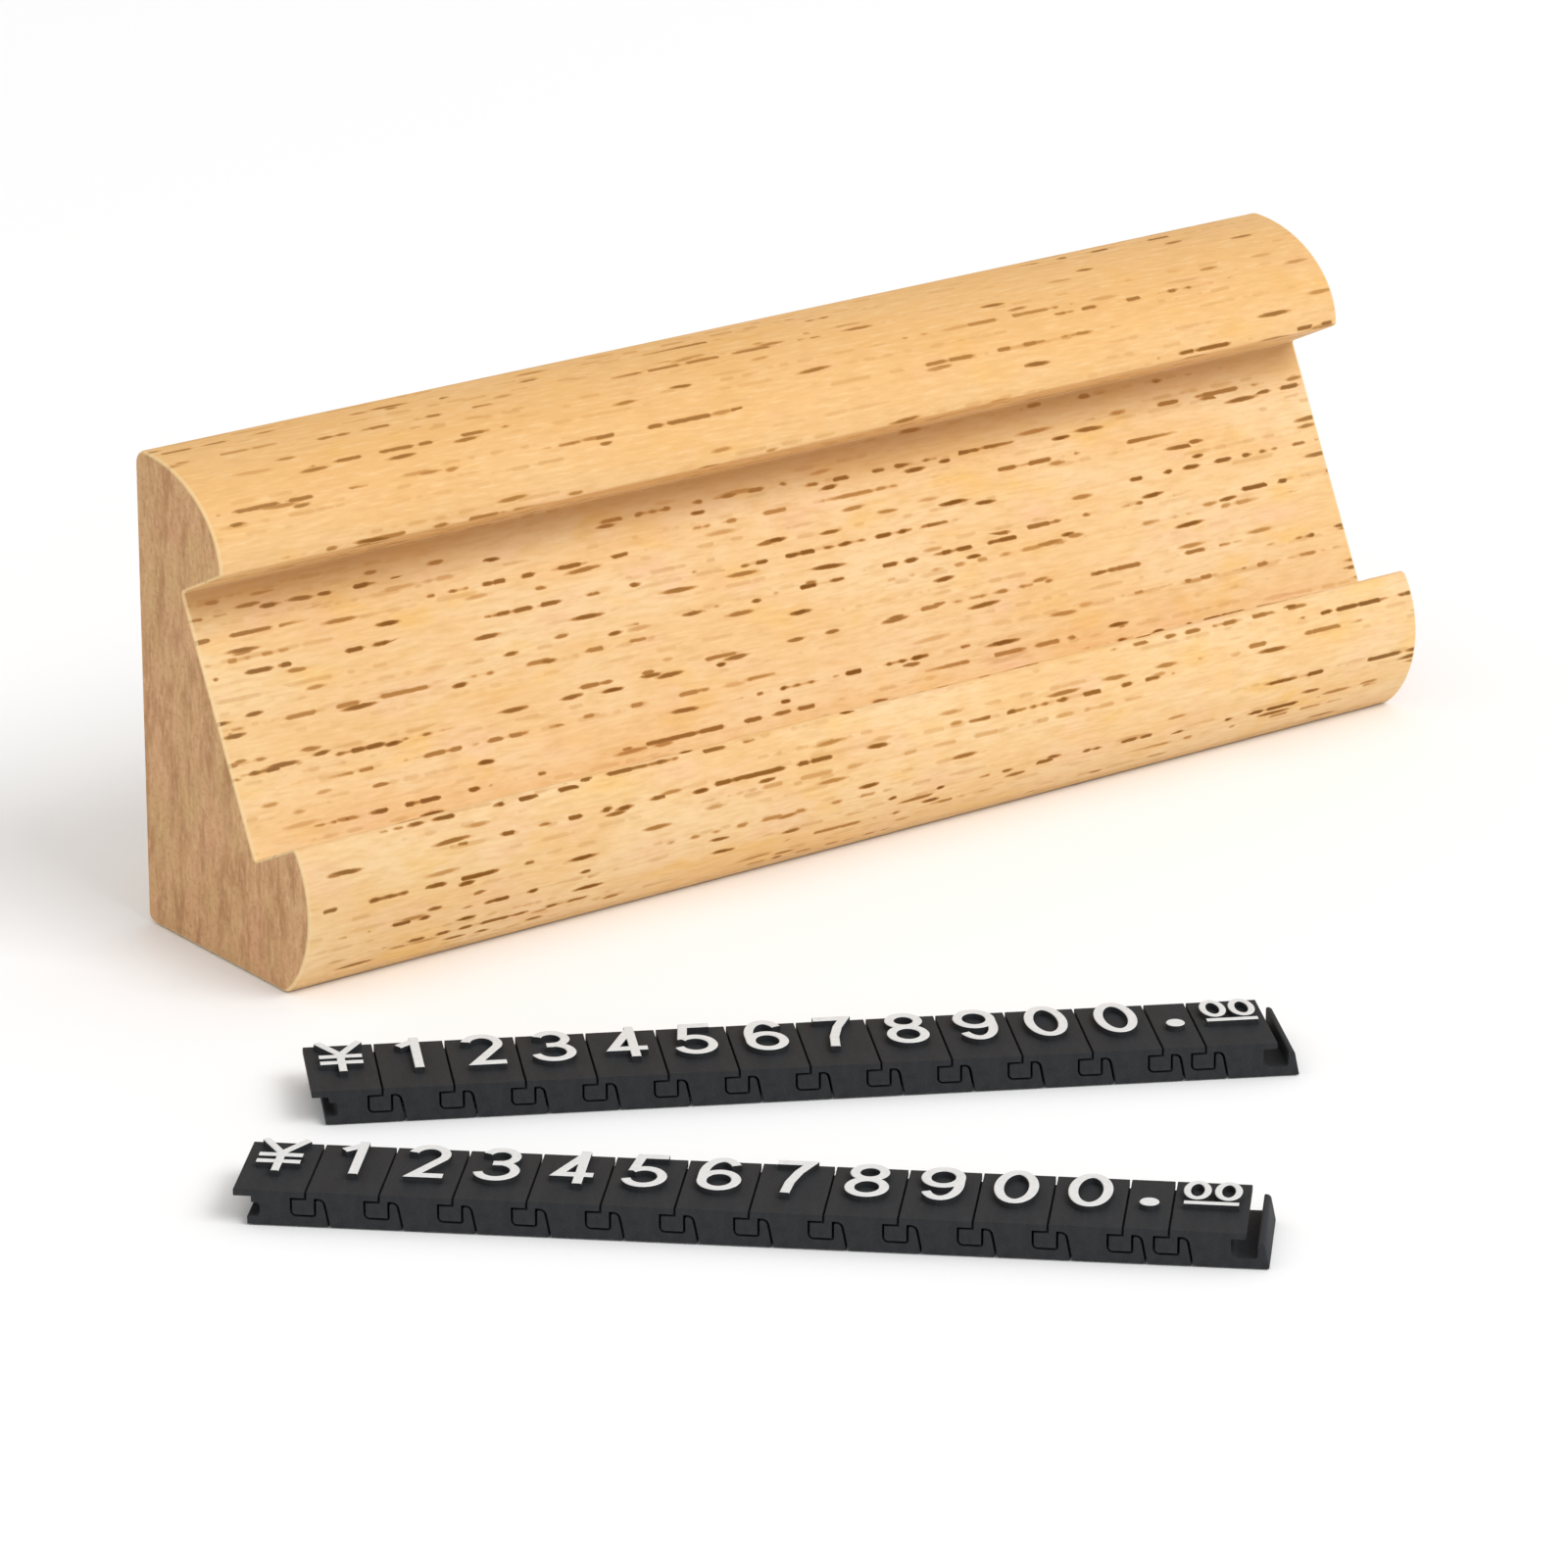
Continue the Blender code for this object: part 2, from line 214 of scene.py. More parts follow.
def fillet(before, corner, after, radius, count=5):
    """Arc that rounds a corner and touches both of its sides."""
    corner = Vector(corner)
    back = (Vector(before) - corner).normalized()
    on = (Vector(after) - corner).normalized()
    half = back.angle(on) / 2
    centre = corner + (back + on).normalized() * (radius / math.sin(half))
    first = corner + back * (radius / math.tan(half)) - centre
    last = corner + on * (radius / math.tan(half)) - centre
    start = math.atan2(first.y, first.x)
    sweep = math.remainder(math.atan2(last.y, last.x) - start, 2 * math.pi)
    angles = [start + sweep * step / count for step in range(count + 1)]
    return [tuple(centre + Vector((math.cos(a), math.sin(a))) * radius) for a in angles]


def softened(corners):
    """Outline through (x, y, radius) corners, each rounded by its own radius."""
    outline = []
    for index, (x, y, radius) in enumerate(corners):
        before = corners[index - 1]
        after = corners[(index + 1) % len(corners)]
        if radius > 0:
            outline += fillet(before[:2], (x, y), after[:2], radius)
        else:
            outline.append((x, y))
    return outline


def channel_corners(record):
    """Heel, head and the two lip corners of the channel, from the record's mounts."""
    mounts = {mount["name"]: mount for mount in record["mounts"]}
    out = Vector((-mounts["channel_face"]["axis"][1], mounts["channel_face"]["axis"][2]))
    up = Vector((-out.y, out.x))
    face = mounts["channel_face"]["pos_m"]
    ledge = mounts["channel_ledge"]["pos_m"]
    face = Vector((FOOT_DEPTH / 2 - face[1], face[2]))
    ledge = Vector((FOOT_DEPTH / 2 - ledge[1], ledge[2]))
    heel = face + up * (ledge - face).dot(up)
    head = heel + up * CHANNEL_WIDTH
    reach = out * CHANNEL_DEPTH
    draft = up * CHANNEL_DRAFT
    return heel, head, head + reach + draft, heel + reach - draft


def block_outline(record, height):
    """Cross-section as (depth from the back face, height), every corner eased."""
    heel, head, upper_lip, lower_lip = channel_corners(record)
    foot = (FOOT_DEPTH, 0.0)
    crown = arc(
        (TOP_FLAT, upper_lip.y), (upper_lip.x - TOP_FLAT, height - upper_lip.y), 90, 0, 4.0
    )
    belly = bulged_arc(lower_lip, foot, LIP_BULGE, 24)
    foot_round = arc((BACK_FOOT_ROUND, BACK_FOOT_ROUND), (BACK_FOOT_ROUND,) * 2, 270, 180, 15)
    top_round = arc(
        (BACK_TOP_ROUND, height - BACK_TOP_ROUND), (BACK_TOP_ROUND,) * 2, 180, 90, 9
    )
    outline = foot_round + top_round + crown[:-1]
    outline += fillet(crown[-2], upper_lip, head, LIP_TIP_ROUND)
    outline += fillet(upper_lip, head, heel, CHANNEL_CORNER_ROUND)
    outline += fillet(head, heel, lower_lip, CHANNEL_CORNER_ROUND)
    outline += fillet(heel, lower_lip, belly[0], LIP_EDGE_ROUND)
    outline += belly[1:-1]
    outline += fillet(belly[-2], foot, foot_round[0], BACK_FOOT_ROUND)
    return outline


def prism(outline, to_point, along):
    """Closed bmesh: an outline placed by to_point and extruded along a vector."""
    shape = bmesh.new()
    corners = [shape.verts.new(to_point(point)) for point in outline]
    face = shape.faces.new(corners)
    grown = bmesh.ops.extrude_face_region(shape, geom=[face])
    moved = [part for part in grown["geom"] if isinstance(part, bmesh.types.BMVert)]
    bmesh.ops.translate(shape, verts=moved, vec=along)
    bmesh.ops.recalc_face_normals(shape, faces=shape.faces)
    return shape


def to_mesh(shape, name):
    mesh = bpy.data.meshes.new(name)
    shape.to_mesh(mesh)
    shape.free()
    return mesh


def add_object(name, mesh, materials=()):
    item = bpy.data.objects.new(name, mesh)
    bpy.context.collection.objects.link(item)
    for material in materials:
        mesh.materials.append(material)
    return item


# ---------------------------------------------------------------- block


def girth_attribute(mesh, outline):
    """Stores how far round the section each vertex lies, for grain that follows the surface."""
    points = [Vector(point) for point in outline]
    walked = [0.0]
    for here, there in zip(points, points[1:]):
        walked.append(walked[-1] + (there - here).length)
    layer = mesh.attributes.new("girth", "FLOAT", "POINT")
    for vertex in mesh.vertices:
        place = Vector((FOOT_DEPTH / 2 - vertex.co.y, vertex.co.z))
        best = None
        for index in range(len(points) - 1):
            here = points[index]
            step = points[index + 1] - here
            share = max(0.0, min(1.0, (place - here).dot(step) / step.length_squared))
            away = (here + step * share - place).length
            if best is None or away < best[0]:
                best = (away, walked[index] + step.length * share)
        layer.data[vertex.index].value = best[1]


def make_block(record, material):
    low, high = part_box("wood_block")
    outline = block_outline(record, high.z)

    def place(point):
        return (low.x, FOOT_DEPTH / 2 - point[0], point[1])

    shape = prism(outline, place, (high.x - low.x, 0.0, 0.0))
    ends = [face for face in shape.faces if abs(face.normal.x) > 0.9]
    rims = [edge for face in ends for edge in face.edges]
    bmesh.ops.bevel(
        shape, geom=rims, offset=END_EASE, segments=3, profile=0.5, affect="EDGES",
        clamp_overlap=True,
    )
    mesh = to_mesh(shape, "beech_block")
    girth_attribute(mesh, outline)
    mesh.shade_smooth()
    mesh.set_sharp_from_angle(angle=BLOCK_SHARP_ANGLE)
    block = add_object("beech_block", mesh, [material])
    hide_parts("wood_block")
    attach(block, "block")


# ---------------------------------------------------------------- tiles


def right_side(width):
    """Corners of a tile's right side, from the face down: skin, hollow, groove and lip."""
    right = width - GAP / 2
    return [
        (right, TILE_THICKNESS, 0.0),
        (right, TILE_THICKNESS - SKIN, 0.0),
        (width - HOLLOW_REACH, TILE_THICKNESS - SKIN, 0.0),
        (width - HOLLOW_REACH, HOLLOW_FLOOR, HOLLOW_ROUND),
        (width + GROOVE, HOLLOW_FLOOR, GROOVE_ROUND),
        (width + GROOVE, LIP_TOP, LIP_ROUNDS[0]),
        (width + LIP_REACH, LIP_TOP, LIP_ROUNDS[1]),
        (width + LIP_FOOT, 0.0, 0.0),
    ]


def hooked_side():
    """Corners of a tile's left side, from the back up: clear of the neighbour's lip, then the hook."""
    return [
        (LIP_FOOT + GAP, 0.0, 0.0),
        (LIP_REACH + GAP, LIP_TOP + GAP, LIP_ROUNDS[1] + GAP),
        (GROOVE - GAP, LIP_TOP + GAP, 0.0),
        (GROOVE - GAP, HOLLOW_FLOOR + GAP, GROOVE_ROUND - GAP),
        (GAP - HOLLOW_REACH, HOLLOW_FLOOR + GAP, HOLLOW_ROUND - GAP),
        (GAP - HOLLOW_REACH, TILE_THICKNESS - SKIN - GAP, 0.0),
        (GAP / 2, TILE_THICKNESS - SKIN - GAP, 0.0),
        (GAP / 2, TILE_THICKNESS, 0.0),
    ]


def end_side():
    """Corners of the first tile's left side, from the back up: wall, empty groove, overhang."""
    end, floor, ceiling = END_GROOVE
    return [
        (END_FOOT, 0.0, 0.0),
        (END_FOOT, floor, 0.0),
        (end, floor, END_GROOVE_ROUND),
        (end, ceiling, END_GROOVE_ROUND),
        (END_WALL, ceiling, 0.0),
        (END_WALL, TILE_THICKNESS - SKIN, 0.0),
        (GAP / 2, TILE_THICKNESS - SKIN, 0.0),
        (GAP / 2, TILE_THICKNESS, 0.0),
    ]


def tile_outline(width, hooked):
    """Cross-section as (distance along the strip, height above the tile's back)."""
    return softened(right_side(width) + (hooked_side() if hooked else end_side()))


# Each figure is a list of strokes in cap heights, in a box that reaches from 0 to FIGURE_WIDTH across
# and from 0 to 1 up. The double zero is wider than the box.
# A stroke is (centre line, closed). A stroke of one point is a round dot.

HALF = STROKE / 2
MID = FIGURE_WIDTH / 2


def ring(centre, radii):
    return (arc(centre, radii, 0, 360)[:-1], True)


def turned(strokes):
    """The same strokes turned by half a turn within the figure's box."""
    return [
        ([(FIGURE_WIDTH - x, 1.0 - y) for x, y in points], closed)
        for points, closed in strokes
    ]


def figure_zero():
    return [ring((MID, 0.5), (MID - HALF, 0.5 - HALF))]


def figure_one():
    return [([(0.33, 0.0), (0.33, 1.0)], False), ([(0.34, 0.92), (0.11, 0.73)], False)]


def figure_two():
    hook = arc((MID, 0.70), (0.205, 0.24), 168, -28)
    return [(hook + [(0.15, HALF), (FIGURE_WIDTH - 0.01, HALF)], False)]


def figure_three():
    upper = arc((0.25, 0.735), (0.185, 0.205), 160, -90)
    lower = arc((0.25, 0.30), (0.225, 0.24), 90, -165)
    return [(upper + [(0.18, 0.53)], False), (lower, False)]


def figure_four():
    return [
        ([(0.37, 0.0), (0.37, 1.0)], False),
        ([(0.37, 0.92), (0.10, 0.29), (0.54, 0.29)], False),
    ]


def figure_five():
    flag = [(0.49, 1.0 - HALF), (0.16, 1.0 - HALF), (0.10, 0.48)]
    bowl = arc((0.255, 0.315), (0.22, 0.255), 138, -162)
    return [(flag, False), (bowl, False)]


def figure_six():
    bowl = ring((MID, 0.31), (MID - HALF, 0.25))
    back = arc((MID, 0.52), (MID - HALF, 0.42), 35, 180) + [(HALF, 0.31)]
    return [bowl, (back, False)]


def figure_seven():
    stem = [(0.43, 1.0 - HALF), (0.31, 0.66), (0.23, 0.34), (0.20, 0.0)]
    return [([(0.03, 1.0 - HALF)] + stem, False)]


def figure_eight():
    return [ring((MID, 0.745), (0.18, 0.195)), ring((MID, 0.30), (MID - HALF, 0.24))]


def figure_yen():
    return [
        ([(MID - 0.26, 0.98), (MID, 0.56), (MID + 0.26, 0.98)], False),
        ([(MID, 0.58), (MID, 0.0)], False),
        ([(MID - 0.27, 0.51), (MID + 0.27, 0.51)], False),
        ([(MID - 0.27, 0.31), (MID + 0.27, 0.31)], False),
    ]


def figure_point():
    return [([(MID, 0.22)], False)]


def figure_cents():
    radii = (0.125, 0.24)
    return [
        ring((MID - 0.187, 0.64), radii),
        ring((MID + 0.187, 0.64), radii),
        ([(MID - 0.33, 0.26), (MID + 0.33, 0.26)], False),
    ]


FIGURES = {
    "yen": figure_yen,
    "0a": figure_zero,
    "0b": figure_zero,
    "1": figure_one,
    "2": figure_two,
    "3": figure_three,
    "4": figure_four,
    "5": figure_five,
    "6": figure_six,
    "7": figure_seven,
    "8": figure_eight,
    "9": lambda: turned(figure_six()),
    "point": figure_point,
    "cents": figure_cents,
}


def stroke_normals(points, closed):
    """For each point, the mitred sideways vector that the half width multiplies."""
    count = len(points)
    normals = []
    for index, point in enumerate(points):
        before = points[index - 1] if closed or index > 0 else None
        after = points[(index + 1) % count] if closed or index < count - 1 else None
        ahead = (after - point).normalized() if after is not None else None
        behind = (point - before).normalized() if before is not None else ahead
        ahead = ahead if ahead is not None else behind
        normal = Vector((-behind.y - ahead.y, behind.x + ahead.x)).normalized()
        normals.append(normal / max(MITRE_LIMIT, normal.dot(Vector((-ahead.y, ahead.x)))))
    return normals


def add_stroke(shape, stroke, half, to_point, low, high):
    """Adds one stroke to a bmesh as a closed prism whose top edges are eased."""
    points, closed = stroke
    points = [Vector(point) for point in points]
    normals = stroke_normals(points, closed)
    ease = FIGURE_EASE / FIGURE_CAP
    section = [
        (-half, low),
        (half, low),
        (half, high - FIGURE_EASE),
        (half - ease, high),
        (ease - half, high),
        (-half, high - FIGURE_EASE),
    ]
    rails = [
        [shape.verts.new(to_point(point + normal * side, height))
         for point, normal in zip(points, normals)]
        for side, height in section
    ]
    count = len(points)
    for index in range(count if closed else count - 1):
        after = (index + 1) % count
        for here, there in zip(rails, rails[1:] + rails[:1]):
            shape.faces.new((here[index], here[after], there[after], there[index]))
    if not closed:
        shape.faces.new([rail[0] for rail in rails])
        shape.faces.new([rail[-1] for rail in rails])


def add_dot(shape, centre, radius, to_point, low, high):
    """Adds one round dot to a bmesh as a closed prism whose top edge is eased."""
    rim = arc((0.0, 0.0), (1.0, 1.0), 0, 360, 15.0)[:-1]
    rings = []
    for size, height in (
        (radius, low),
        (radius, high - FIGURE_EASE),
        (radius - FIGURE_EASE / FIGURE_CAP, high),
    ):
        points = [Vector(centre) + Vector(point) * size for point in rim]
        rings.append([shape.verts.new(to_point(point, height)) for point in points])
    shape.faces.new(rings[0])
    shape.faces.new(rings[-1])
    for lower, upper in zip(rings, rings[1:]):
        for index in range(len(rim)):
            before = index - 1
            shape.faces.new((lower[before], lower[index], upper[index], upper[before]))


def stroke_meshes(label, width):
    """The strokes of a tile's figure, each one a closed prism standing in the tile's face."""
    left = (width - FIGURE_WIDTH * FIGURE_CAP) / 2
    foot = TILE_HEIGHT / 2 - FIGURE_TOP_GAP - FIGURE_CAP

    def place(point, height):
        return (left + point[0] * FIGURE_CAP, foot + point[1] * FIGURE_CAP, height)

    half = STROKE_OF.get(label, STROKE) / 2
    meshes = []
    for order, stroke in enumerate(FIGURES[label]()):
        shape = bmesh.new()
        low = TILE_THICKNESS - FIGURE_ROOT + order * STROKE_STEP
        high = TILE_THICKNESS + FIGURE_RELIEF - order * STROKE_STEP
        if len(stroke[0]) == 1:
            add_dot(shape, stroke[0][0], half, place, low, high)
        else:
            add_stroke(shape, stroke, half, place, low, high)
        bmesh.ops.recalc_face_normals(shape, faces=shape.faces)
        meshes.append(to_mesh(shape, "stroke"))
    return meshes


def clean(mesh):
    """Welds what the union left doubled, drops faces without area, and cuts the rest to triangles."""
    shape = bmesh.new()
    shape.from_mesh(mesh)
    bmesh.ops.remove_doubles(shape, verts=shape.verts, dist=WELD)
    bmesh.ops.dissolve_degenerate(shape, edges=shape.edges, dist=WELD)
    bmesh.ops.triangulate(shape, faces=shape.faces)
    bmesh.ops.dissolve_degenerate(shape, edges=shape.edges, dist=WELD)
    shape.to_mesh(mesh)
    shape.free()


def tile_mesh(label, materials):
    """Tile with eased edges and its raised figure, as one closed mesh whose figure's top is white."""
    width = TILE_WIDTHS.get(label, DIGIT_WIDTH)

    def place(point):
        return (point[0], -TILE_HEIGHT / 2, point[1])

    shape = prism(tile_outline(width, label != "yen"), place, (0.0, TILE_HEIGHT, 0.0))
    body = add_object("blank", to_mesh(shape, "blank"))
    strokes = [add_object("stroke", mesh) for mesh in stroke_meshes(label, width)]
    for item in [body, *strokes]:
        item.data.transform(Matrix.Scale(WORK_SCALE, 4))
    ease = body.modifiers.new("ease", "BEVEL")
    ease.width = TILE_EASE * WORK_SCALE
    ease.segments = 2
    ease.limit_method = "ANGLE"
    ease.angle_limit = TILE_EASE_ANGLE
    for stroke in strokes:
        union = body.modifiers.new("figure", "BOOLEAN")
        union.operation = "UNION"
        union.solver = "EXACT"
        union.object = stroke
    bpy.context.view_layer.update()
    evaluated = body.evaluated_get(bpy.context.evaluated_depsgraph_get())
    mesh = bpy.data.meshes.new_from_object(evaluated)
    mesh.name = "tile_" + label
    clean(mesh)
    mesh.transform(Matrix.Scale(1 / WORK_SCALE, 4))
    mesh.materials.clear()
    for material in materials:
        mesh.materials.append(material)
    for scrap in [body, *strokes]:
        bpy.data.objects.remove(scrap, do_unlink=True)
    mesh.shade_smooth()
    mesh.set_sharp_from_angle(angle=TILE_SHARP_ANGLE)
    for face in mesh.polygons:
        on_top = face.center.z > TILE_THICKNESS + FIGURE_RELIEF - FIGURE_EASE
        face.material_index = 1 if on_top else 0
        face.use_smooth = max(abs(part) for part in face.normal) < SQUARE_FACE
    return mesh


def tile_place(node, upward):
    """Matrix that puts a tile drawn at the origin where its CAD node lies."""
    along = Vector((upward.y, -upward.x, 0.0))
    corners = [vertex.co for vertex in frame["nodes"][node].data.vertices]
    face = [co for co in corners if abs(co.z - TILE_THICKNESS) < 0.01 * MM]
    left = min(co.dot(along) for co in face) - GAP / 2
    heights = [co.dot(upward) for co in corners]
    middle = (min(heights) + max(heights)) / 2
    turn = Matrix((along, upward, Vector((0.0, 0.0, 1.0)))).transposed().to_4x4()
    return Matrix.Translation(along * left + upward * middle) @ turn


def make_tiles(materials):
    meshes = {label: tile_mesh(label, materials) for label in TILES}
    joints = {joint["name"]: joint for joint in frame["record"]["behaviour"]["joints"]}
    for strip in STRIPS:
        upward = Vector(joints[strip + "_1_slide"]["axis"])
        if strip == "front":
            upward.negate()
        for label in TILES:
            node = f"{strip}_tile_{label}"
            tile = add_object(f"{strip}_number_{label}", meshes[label])
            tile.matrix_world = tile_place(node, upward)
            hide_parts(node)
            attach(tile, node)


# ---------------------------------------------------------------- materials


class Graph:
    """Short way to write a material's nodes."""

    def __init__(self, name):
        self.material = bpy.data.materials.new(name)
        self.material.use_nodes = True
        self.tree = self.material.node_tree
        self.shader = self.tree.nodes["Principled BSDF"]

    def add(self, kind, inputs=None, **settings):
        item = self.tree.nodes.new(kind)
        for key, value in settings.items():
            setattr(item, key, value)
        for key, value in (inputs or {}).items():
            self.set(item, key, value)
        return item

    def set(self, item, key, value):
        if isinstance(value, bpy.types.NodeSocket):
            self.tree.links.new(value, item.inputs[key])
        else:
            item.inputs[key].default_value = value

    def math(self, operation, first, second=0.0):
        item = self.add("ShaderNodeMath", {0: first, 1: second}, operation=operation)
        return item.outputs[0]

    def remap(self, value, low, high, to_low=0.0, to_high=1.0, smooth=False):
        item = self.add(
            "ShaderNodeMapRange",
            {"Value": value, "From Min": low, "From Max": high, "To Min": to_low, "To Max": to_high},
            interpolation_type="SMOOTHSTEP" if smooth else "LINEAR",
        )
        return item.outputs["Result"]

    def mix(self, factor, first, second):
        item = self.add("ShaderNodeMix", data_type="RGBA")
        self.set(item, 0, factor)
        self.set(item, 6, first)
        self.set(item, 7, second)
        return item.outputs[2]

    def blend(self, factor, first, second):
        item = self.add("ShaderNodeMix", data_type="FLOAT")
        self.set(item, 0, factor)
        self.set(item, 2, first)
        self.set(item, 3, second)
        return item.outputs[0]

    def noise(self, vector, scale, detail=2.0, roughness=0.5):
        item = self.add(
            "ShaderNodeTexNoise",
            {"Vector": vector, "Scale": scale, "Detail": detail, "Roughness": roughness},
        )
        return item.outputs["Fac"]

    def stretch(self, vector, scale, turn=0.0, shift=(0.0, 0.0, 0.0)):
        item = self.add(
            "ShaderNodeMapping",
            {"Vector": vector, "Scale": scale, "Rotation": (0.0, 0.0, turn), "Location": shift},
        )
        return item.outputs["Vector"]


def rgb(red, green, blue):
    """Linear colour from display values of 0 to 255."""
    def linear(value):
        share = value / 255
        return share / 12.92 if share <= 0.04045 else ((share + 0.055) / 1.055) ** 2.4

    return (linear(red), linear(green), linear(blue), 1.0)


SIDE = {
    "ground": rgb(228, 186, 130),
    "pale ground": rgb(232, 199, 152),
    "warm": rgb(230, 184, 106),
    "pink": rgb(230, 187, 149),
    # The crown tone is painted shade: the block's top darker and warmer.
    "crown": rgb(222, 169, 102),
    "mottle": rgb(216, 171, 112),
    "dark streak": rgb(206, 160, 98),
    "pale streak": rgb(240, 212, 164),
    "faint row": rgb(184, 128, 58),
    "fleck edge": rgb(190, 135, 70),
    "fleck": rgb(114, 68, 8),
    # The corner tone is painted shadow in the channel's upper corner, under the upper lip.
    "corner": rgb(176, 122, 66),
    # The rim tone is a painted highlight on the eased edges round the block's ends.
    "rim": rgb(238, 210, 160),
}
END = {
    "ground": rgb(208, 163, 120),
    "yellow ground": rgb(204, 165, 116),
    "wander": rgb(212, 160, 123),
    "ring": rgb(174, 128, 88),
    "ray": rgb(226, 186, 144),
    "pore": rgb(156, 112, 72),
}
PLASTIC = {
    "ground": rgb(38, 39, 41),
    "flow": rgb(46, 47, 49),
    "spark": rgb(60, 61, 63),
}
STAMP = {
    "ground": rgb(228, 228, 227),
    "worn": rgb(212, 212, 211),
    "grit": rgb(170, 170, 170),
}
FLOOR_TONES = ((0.97, 0.97, 0.97, 1.0), (0.95, 0.95, 0.95, 1.0))


def cell_places(graph, surface, cell, shift, scatter):
    """Nearest cell's chance values, and the place relative to its centre in cell units."""
    spread = graph.stretch(surface, (1 / cell[0], 1 / cell[1], 1.0), shift=shift)
    cells = graph.add(
        "ShaderNodeTexVoronoi",
        {"Vector": spread, "Scale": 1.0, "Randomness": scatter},
        voronoi_dimensions="2D",
        feature="F1",
    )
    away = graph.add(
        "ShaderNodeVectorMath",
        {0: spread, 1: cells.outputs["Position"]},
        operation="SUBTRACT",
    )
    chance = graph.add("ShaderNodeSeparateColor", {"Color": cells.outputs["Color"]})
    place = graph.add("ShaderNodeSeparateXYZ", {0: away.outputs[0]})
    return chance.outputs, place.outputs


def square_of(graph, value, scale):
    scaled = graph.math("MULTIPLY", value, scale)
    return graph.math("MULTIPLY", scaled, scaled)


def dash_mask(graph, room, chance, present):
    """Soft-edged mask where room is left, in the share of cells that hold a fleck."""
    dash = graph.remap(room, 0.0, FLECK_SOFTNESS, 0.0, 1.0, smooth=True)
    strength = graph.remap(chance["Green"], 1.0 - present, 1.0, 0.0, 1.0)
    return graph.math("MULTIPLY", dash, graph.math("POWER", strength, FLECK_CONTRAST))


def fleck_layer(graph, surface, cell, radii, shift, present):
    """Mask of single flecks with round ends, one to a cell, each with its own length and tilt."""
    chance, place = cell_places(graph, surface, cell, shift, 1.0)
    length = graph.remap(chance["Red"], 0.0, 1.0, radii[0] * FLECK_SHORTEST, radii[0])
    reach = graph.math("MULTIPLY", place["X"], cell[0])
    tilt = graph.remap(chance["Blue"], 0.0, 1.0, -FLECK_TILT, FLECK_TILT)
    height = graph.math(
        "ADD", graph.math("MULTIPLY", place["Y"], cell[1]), graph.math("MULTIPLY", reach, tilt)
    )
    across = square_of(graph, height, 1 / radii[1])
    along = graph.math("ABSOLUTE", graph.math("DIVIDE", reach, length))
    room = graph.math("SUBTRACT", 1.0, graph.math("ADD", graph.math("POWER", along, 2.0), across))
    return dash_mask(graph, room, chance, present)


def row_layer(graph, surface, cell, radii, dash, shift, present):
    """Mask of long thin rows that are broken into dashes along the grain."""
    chance, place = cell_places(graph, surface, cell, shift, ROW_SCATTER)
    split = graph.add("ShaderNodeSeparateXYZ", {0: surface}).outputs
    beat = graph.add(
        "ShaderNodeCombineXYZ",
        {
            0: graph.math("MULTIPLY", split["X"], 1 / dash),
            1: graph.math("MULTIPLY", chance["Blue"], ROW_CHANCE),
        },
    ).outputs[0]
    pulse = graph.remap(graph.noise(beat, 1.0, 1.0), 0.45, 0.56)
    along = square_of(graph, place["X"], cell[0] / radii[0])
    across = square_of(graph, place["Y"], cell[1] / radii[1])
    ends = graph.math("MULTIPLY", along, along)
    room = graph.math("SUBTRACT", pulse, graph.math("ADD", ends, across))
    return dash_mask(graph, room, chance, present)


def grain_place(graph, where, normal):
    """Place on the block's surface: along the length, and round the section."""
    split = graph.add("ShaderNodeSeparateXYZ", {0: where}).outputs
    girth = graph.add("ShaderNodeAttribute", attribute_name="girth").outputs["Fac"]
    under = graph.remap(normal["Z"], -0.7, -0.9)
    round_section = graph.blend(under, girth, split["Y"])
    flat = graph.add("ShaderNodeCombineXYZ", {0: split["X"], 1: round_section}).outputs[0]
    return graph.stretch(flat, (1.0, 1.0, 1.0), turn=GRAIN_TURN)


def ragged_edges(graph, surface):
    """The surface nudged a little at random, so that marks drawn on it get uneven edges."""
    nudge = graph.add(
        "ShaderNodeTexNoise", {"Vector": surface, "Scale": RAGGED_RATE, "Detail": 3.0}
    ).outputs["Color"]
    centred = graph.add(
        "ShaderNodeVectorMath", {0: nudge, 1: (0.5, 0.5, 0.5)}, operation="SUBTRACT"
    ).outputs[0]
    offset = graph.add(
        "ShaderNodeVectorMath", {0: centred, 1: RAGGED_REACH}, operation="MULTIPLY"
    ).outputs[0]
    return graph.add("ShaderNodeVectorMath", {0: surface, 1: offset}, operation="ADD").outputs[0]


